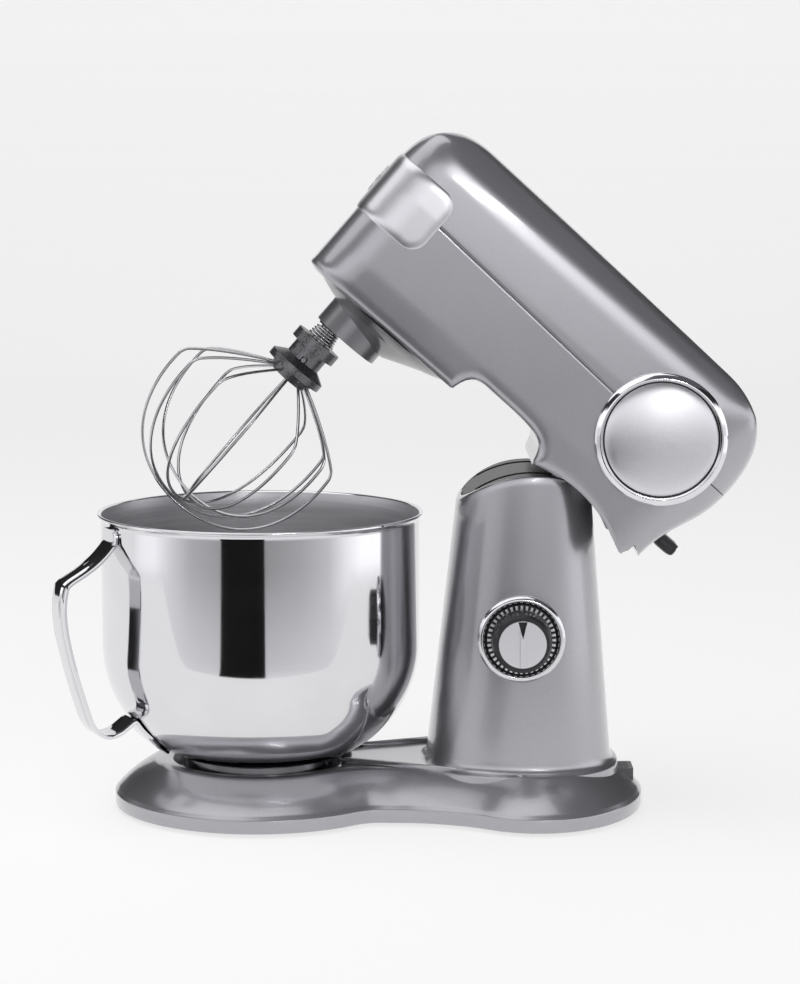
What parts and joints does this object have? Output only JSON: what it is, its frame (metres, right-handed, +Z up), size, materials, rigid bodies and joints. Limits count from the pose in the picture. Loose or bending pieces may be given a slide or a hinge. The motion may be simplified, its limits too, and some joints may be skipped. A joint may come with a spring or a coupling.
{
  "type": "stand mixer",
  "caption": "Tilt-head planetary stand mixer: grey cast base, column and head, polished steel bowl with side handle, balloon whisk, side speed dial.",
  "frame": {"origin": "on the bowl's axis, on the table plane that the rubber feet stand on", "axes": "+Z up; +X towards the rear of the mixer, where the column stands; +Y away from the speed dial; the head is at rest in its raised position"},
  "size_m": [0.4656, 0.22, 0.4546],
  "materials": {
    "grey_paint": "painted satin-gloss metallic grey over die-cast aluminium",
    "dark_paint": "painted satin dark grey over die-cast aluminium",
    "satin_metal": "satin silver, finely brushed",
    "chrome": "bright chrome",
    "mirror_steel": "mirror-polished stainless outside, brushed inside",
    "wire_steel": "polished stainless wire",
    "frame_metal": "plain die-cast",
    "steel": "turned or zinc-plated",
    "bronze": "plain",
    "black_plastic": "fine-textured black",
    "grey_plastic": "moulded, satin",
    "rubber": "matte",
    "board": "lacquered board",
    "copper": "wound copper and laminated iron"
  },
  "bodies": {
    "stand": {"stand_casting": "grey_paint", "base_plate": "grey_plastic", "rubber_feet": "rubber", "base_screws": "steel", "bowl_seat": "satin_metal", "seat_screws": "steel", "hinge_bracket": "steel", "bracket_bolts": "steel", "hinge_pin": "steel", "hinge_clips": "steel", "column_saddle": "black_plastic", "cord_gland": "grey_plastic", "dial_bezel": "chrome", "speed_scale_ring": "steel", "control_board": "board", "speed_control": "grey_plastic"},
    "dial": {"dial_knob": "black_plastic", "dial_face": "satin_metal", "dial_spindle": "steel"},
    "head": {"head_upper_shell": "grey_paint", "head_lower_shell": "grey_paint", "head_frame": "frame_metal", "hinge_bushes": "bronze", "gearbox_cover": "dark_paint", "ring_gear": "steel", "medallion_rings": "chrome", "medallion_discs": "satin_metal", "screw_plugs": "grey_plastic", "port_housing": "frame_metal", "motor_can": "steel", "motor_end_plates": "frame_metal", "latch_pin": "steel", "drive_belt": "rubber"},
    "motor_rotor": {"rotor_core": "copper", "motor_shaft": "steel", "motor_fan": "black_plastic", "motor_pulley": "steel"},
    "layshaft": {"layshaft": "steel", "layshaft_pulley": "frame_metal", "pinion": "steel"},
    "carrier": {"planet_carrier": "dark_paint", "main_shaft": "steel", "main_gear": "steel", "main_bevel": "steel"},
    "port_drive": {"port_coupling": "steel", "port_bevel": "bronze"},
    "output": {"planet_gear": "bronze", "output_shaft": "steel", "drive_pin": "steel", "hub_washer": "black_plastic"},
    "whisk": {"whisk_hub": "frame_metal", "whisk_wires": "wire_steel", "whisk_spring": "steel"},
    "nose_cover": {"nose_cover": "satin_metal", "button_spring": "steel"},
    "cover_button": {"cover_button": "satin_metal"},
    "latch_lever": {"latch_lever": "black_plastic"},
    "bowl": {"bowl": "mirror_steel", "bowl_foot_ring": "steel", "bowl_handle": "mirror_steel"}
  },
  "joints": [
    {"name": "head_tilt", "type": "hinge", "parent": "stand", "child": "head", "pos_m": [0.182, 0, 0.1615], "axis": [0, 1, 0], "range_deg": [-41, 0]},
    {"name": "speed_dial", "type": "hinge", "parent": "stand", "child": "dial", "pos_m": [0.174, -0.05977, 0.1245], "axis": [0, -1, 0], "range_deg": [-270, 0]},
    {"name": "carrier_turn", "type": "hinge", "parent": "head", "child": "carrier", "pos_m": [0.07646, 0, 0.31751], "axis": [0.6561, 0, 0.7547], "continuous": true},
    {"name": "layshaft_turn", "type": "hinge", "parent": "head", "child": "layshaft", "pos_m": [0.13006, 0, 0.32391], "axis": [0.6561, 0, 0.7547], "continuous": true},
    {"name": "motor_turn", "type": "hinge", "parent": "head", "child": "motor_rotor", "pos_m": [0.19176, 0, 0.27028], "axis": [0.6561, 0, 0.7547], "continuous": true},
    {"name": "port_turn", "type": "hinge", "parent": "head", "child": "port_drive", "pos_m": [0.08583, 0, 0.41974], "axis": [0.7547, 0, -0.6561], "continuous": true},
    {"name": "whisk_turn", "type": "hinge", "parent": "carrier", "child": "output", "pos_m": [0.05009, 0, 0.32718], "axis": [0.6561, 0, 0.7547], "continuous": true},
    {"name": "whisk_push", "type": "slide", "parent": "output", "child": "whisk", "axis": [0.6561, 0, 0.7547], "range_m": [0, 0.005], "stiffness_N_per_m": 900, "springref_m": -0.006, "deforming": ["whisk_spring"]},
    {"name": "nose_cover_pull", "type": "slide", "parent": "head", "child": "nose_cover", "axis": [-0.7547, 0, 0.6561], "range_m": [0, 0.06]},
    {"name": "cover_button_press", "type": "slide", "parent": "nose_cover", "child": "cover_button", "axis": [0.7547, 0, -0.6561], "range_m": [0, 0.0012], "stiffness_N_per_m": 600, "springref_m": -0.002, "deforming": ["button_spring"]},
    {"name": "latch_press", "type": "hinge", "parent": "head", "child": "latch_lever", "pos_m": [0.25503, 0, 0.19673], "axis": [0, 1, 0], "range_deg": [0, 14], "stiffness_Nm_per_rad": 0.6, "springref_deg": -14.32},
    {"name": "bowl_lift", "type": "slide", "parent": "stand", "child": "bowl", "axis": [0, 0, 1], "range_m": [0, 0.06]}
  ],
  "couplings": [
    {"joint": "layshaft_turn", "follows": "carrier_turn", "ratio": -4.8},
    {"joint": "motor_turn", "follows": "carrier_turn", "ratio": -14.4},
    {"joint": "port_turn", "follows": "carrier_turn", "ratio": -1.6667},
    {"joint": "whisk_turn", "follows": "carrier_turn", "ratio": -3.0588}
  ]
}
